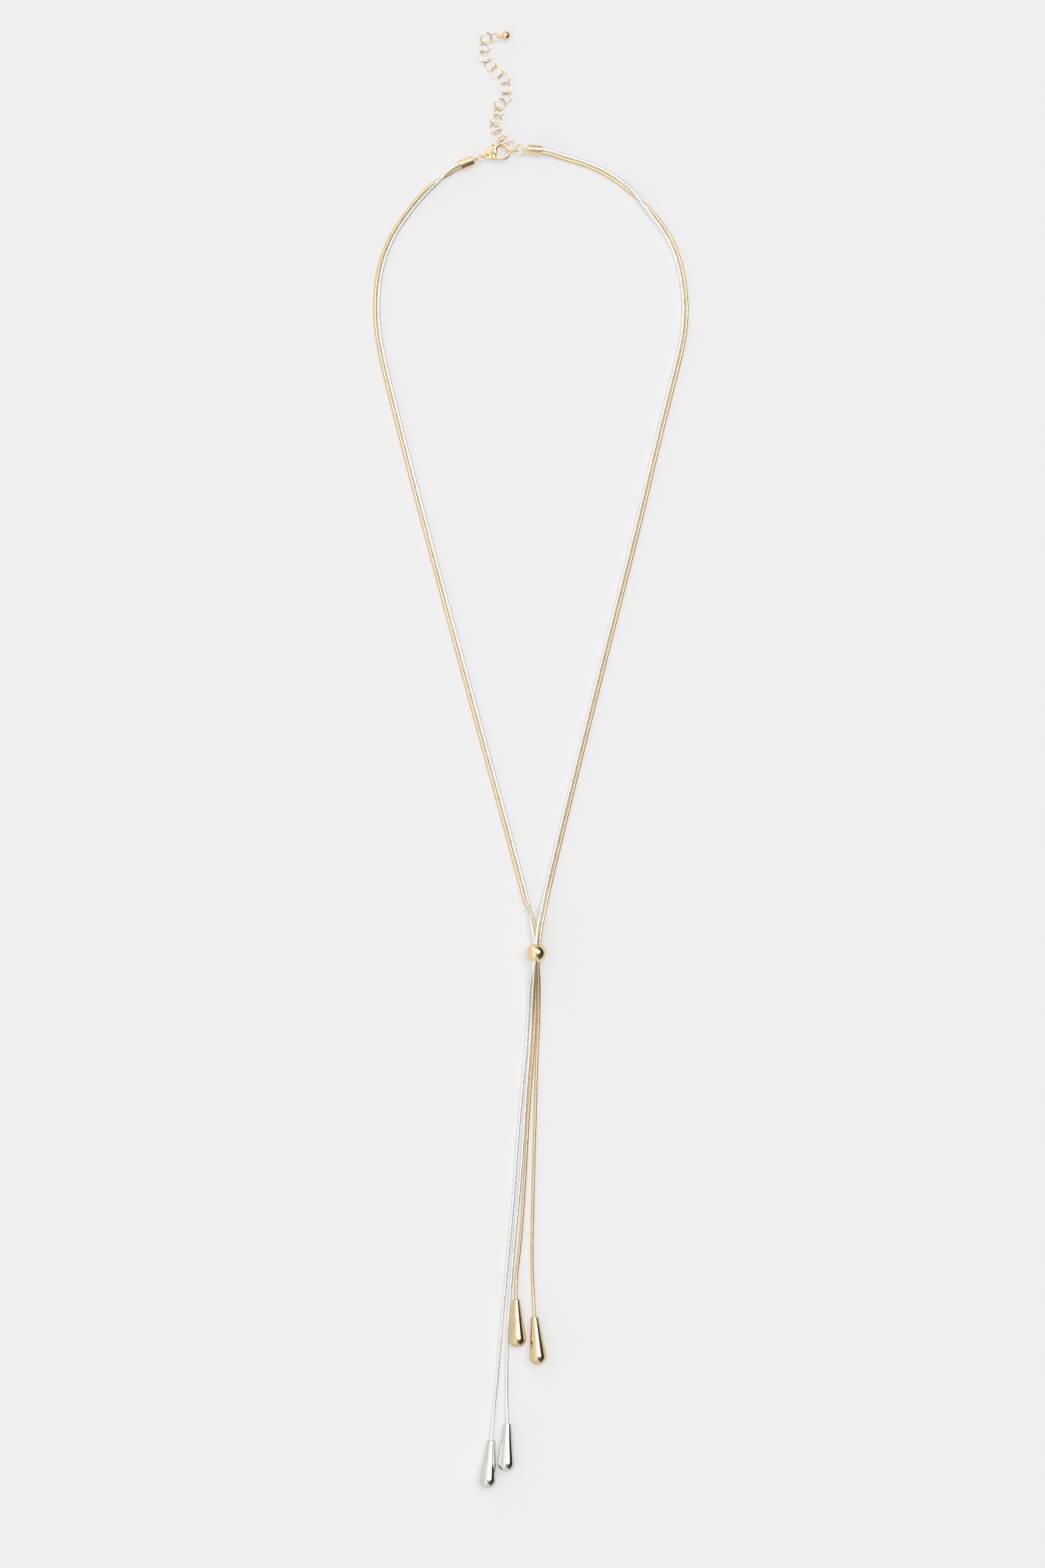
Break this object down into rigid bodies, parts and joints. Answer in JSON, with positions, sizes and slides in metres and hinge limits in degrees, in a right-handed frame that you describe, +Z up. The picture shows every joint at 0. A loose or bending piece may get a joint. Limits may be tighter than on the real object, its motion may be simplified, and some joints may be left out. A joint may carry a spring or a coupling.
{
  "type": "lariat necklace",
  "caption": "Long two-tone lariat necklace of round snake chain, laid out flat, with a slider bead, teardrop ends, a lobster clasp and an extension chain.",
  "frame": {"origin": "on the table, under the middle of the laid-out necklace", "axes": "+Y along the necklace, from the teardrop ends to the extension chain; +Z up from the table; +X to the right seen from above"},
  "size_m": [0.1372, 0.633, 0.0087],
  "materials": {
    "gold_polished": "polished pale gold plating",
    "gold_snake_chain": "pale gold plated round snake chain",
    "silver_polished": "polished rhodium-like plating",
    "silver_snake_chain": "silver plated round snake chain"
  },
  "bodies": {
    "necklace": {"clasp_body": "gold_polished", "drop_gold_left": "gold_polished", "drop_gold_right": "gold_polished", "drop_silver_left": "silver_polished", "drop_silver_right": "silver_polished", "end_ball": "gold_polished", "end_cap_left": "gold_polished", "end_cap_right": "gold_polished", "end_jump_ring": "gold_polished", "extension_link_01": "gold_polished", "extension_link_02": "gold_polished", "extension_link_03": "gold_polished", "extension_link_04": "gold_polished", "extension_link_05": "gold_polished", "extension_link_06": "gold_polished", "extension_link_07": "gold_polished", "extension_link_08": "gold_polished", "extension_link_09": "gold_polished", "extension_link_10": "gold_polished", "extension_link_11": "gold_polished", "extension_link_12": "gold_polished", "extension_link_13": "gold_polished", "extension_link_14": "gold_polished", "extension_link_15": "gold_polished", "extension_link_16": "gold_polished", "jump_ring_left_1": "gold_polished", "jump_ring_left_2": "gold_polished", "jump_ring_right": "gold_polished", "lower_chain_gold_left": "gold_snake_chain", "lower_chain_gold_right": "gold_snake_chain", "lower_chain_silver_left": "silver_snake_chain", "lower_chain_silver_right": "silver_snake_chain", "slider_bead": "gold_polished", "upper_chain_gold_left": "gold_snake_chain", "upper_chain_gold_right": "gold_snake_chain", "upper_chain_silver_left": "silver_snake_chain", "upper_chain_silver_right": "silver_snake_chain"},
    "clasp_lever": {"clasp_lever": "gold_polished"}
  },
  "joints": [
    {"name": "clasp_gate", "type": "hinge", "parent": "necklace", "child": "clasp_lever", "pos_m": [-0.01652, 0.26458, 0.0025], "axis": [0, 0, 1], "range_deg": [0, 25], "stiffness_Nm_per_rad": 0.005, "springref_deg": -28.65}
  ]
}
